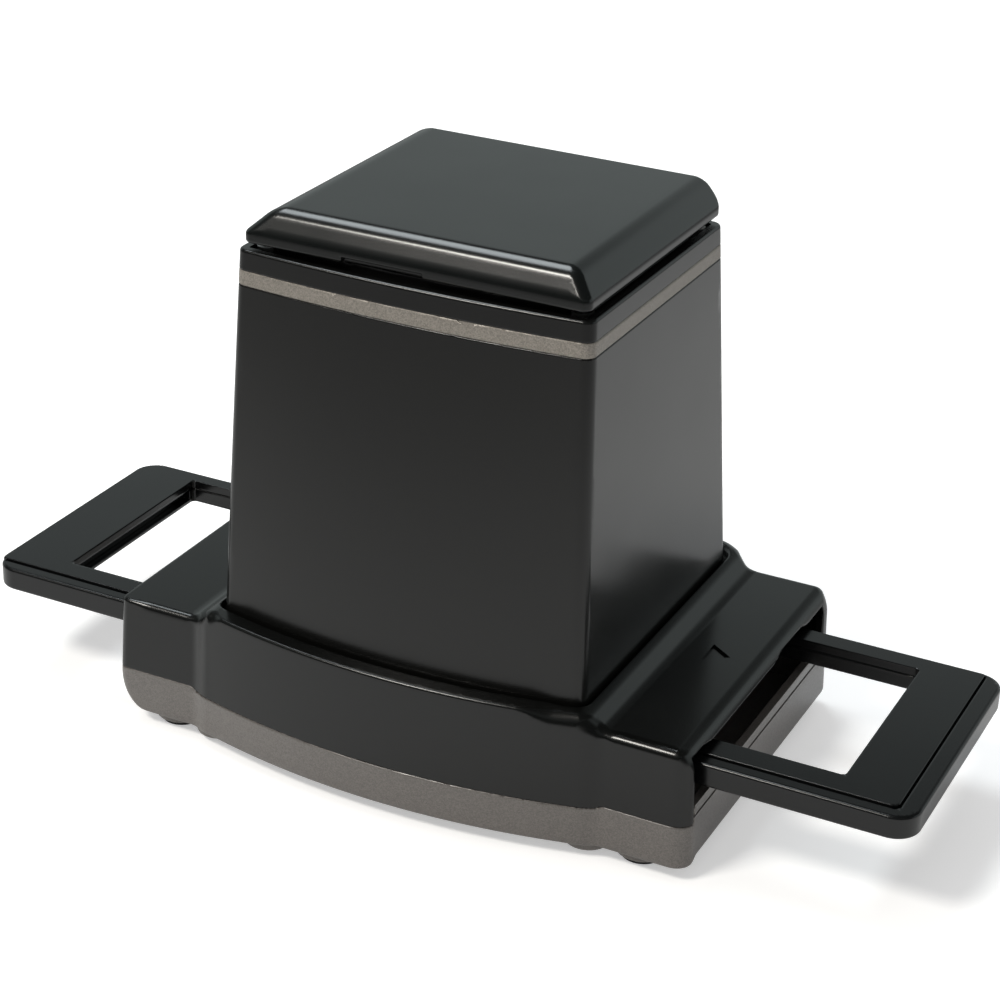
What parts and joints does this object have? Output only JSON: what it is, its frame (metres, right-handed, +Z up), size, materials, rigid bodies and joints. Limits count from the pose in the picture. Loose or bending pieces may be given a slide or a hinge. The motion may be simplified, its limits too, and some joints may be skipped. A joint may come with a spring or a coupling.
{
  "type": "film negative scanner",
  "caption": "Tower-shaped slide and film scanner with a sliding slide tray through its base, a hinged display lid and control buttons under the lid.",
  "frame": {"origin": "on the ground, under the middle of the parked tray and half way between the base's bowed front and back", "axes": "+X along the tray to the right end, +Y to the back, +Z up"},
  "size_m": [0.234, 0.1072, 0.1321],
  "materials": {
    "silver_shell": "silver-grey satin paint on moulded plastic",
    "black_shell": "fine satin moulding",
    "foot_rubber": "matt",
    "screw_steel": "zinc plated",
    "pin_steel": "drawn bar",
    "spring_steel": "bright",
    "guide_plastic": "matt moulding",
    "optics_black": "light-absorbing matt black",
    "lens_metal": "black anodised",
    "lens_glass": "coated",
    "circuit_board": "green solder resist",
    "led_package": "clear encapsulant",
    "white_plastic": "white moulding",
    "diffuser_acrylic": "opal",
    "sensor_window": "glass-covered die",
    "chip_black": "epoxy package",
    "socket_steel": "tinned",
    "socket_black": "moulded",
    "tower_plastic": "dark grey satin with a soft metallic sheen",
    "trim_silver": "warm silver paint",
    "deck_black": "satin",
    "switch_body": "moulded",
    "button_black": "semi-gloss",
    "button_silver": "satin silver",
    "lid_plastic": "blue-grey satin",
    "bezel_black": "gloss",
    "window_clear": "clear",
    "panel_grey": "display off",
    "tray_black": "fine satin moulding"
  },
  "bodies": {
    "housing": {"lower_shell": "silver_shell", "upper_shell": "black_shell", "rubber_feet": "foot_rubber", "base_screws": "screw_steel", "tray_guide": "guide_plastic", "detent_spring": "spring_steel", "film_mask": "optics_black", "backlight_board": "circuit_board", "backlight_leds": "led_package", "light_box": "white_plastic", "diffuser_panel": "diffuser_acrylic", "light_shroud": "optics_black", "lens_plate": "optics_black", "lens_barrel": "lens_metal", "front_lens": "lens_glass", "rear_lens": "lens_glass", "sensor_frame": "optics_black", "image_sensor": "sensor_window", "sensor_board": "circuit_board", "main_board": "circuit_board", "board_chips": "chip_black", "usb_socket": "socket_steel", "screen_socket": "socket_black", "card_socket": "socket_steel", "tower_shell": "tower_plastic", "tower_screws": "screw_steel", "trim_band": "trim_silver", "top_deck": "deck_black", "deck_screws": "screw_steel", "switch_board": "circuit_board", "button_switches": "switch_body", "hinge_pins": "pin_steel"},
    "lid": {"lid_shell": "lid_plastic", "display_bezel": "bezel_black", "display_window": "window_clear", "display_panel": "panel_grey", "bezel_screws": "screw_steel"},
    "film_tray": {"tray_base": "tray_black", "tray_cover": "tray_black", "tray_hinge_pins": "pin_steel"},
    "power_key": {"power_button": "button_black"},
    "left_key": {"left_button": "button_black"},
    "scan_key": {"scan_button": "button_silver"},
    "right_key": {"right_button": "button_black"},
    "mode_key": {"mode_button": "button_black"}
  },
  "joints": [
    {"name": "lid_hinge", "type": "hinge", "parent": "housing", "child": "lid", "pos_m": [-0.003, 0.0364, 0.1213], "axis": [-1, 0, 0], "range_deg": [0, 100]},
    {"name": "tray_slide", "type": "slide", "parent": "housing", "child": "film_tray", "axis": [1, 0, 0], "range_m": [-0.07965, 0.07365]},
    {"name": "power_press", "type": "slide", "parent": "housing", "child": "power_key", "axis": [0, 0, -1], "range_m": [0, 0.0008], "stiffness_N_per_m": 800, "springref_m": -0.0005},
    {"name": "left_press", "type": "slide", "parent": "housing", "child": "left_key", "axis": [0, 0, -1], "range_m": [0, 0.0008], "stiffness_N_per_m": 800, "springref_m": -0.0005},
    {"name": "scan_press", "type": "slide", "parent": "housing", "child": "scan_key", "axis": [0, 0, -1], "range_m": [0, 0.0008], "stiffness_N_per_m": 800, "springref_m": -0.0005},
    {"name": "right_press", "type": "slide", "parent": "housing", "child": "right_key", "axis": [0, 0, -1], "range_m": [0, 0.0008], "stiffness_N_per_m": 800, "springref_m": -0.0005},
    {"name": "mode_press", "type": "slide", "parent": "housing", "child": "mode_key", "axis": [0, 0, -1], "range_m": [0, 0.0008], "stiffness_N_per_m": 800, "springref_m": -0.0005}
  ]
}
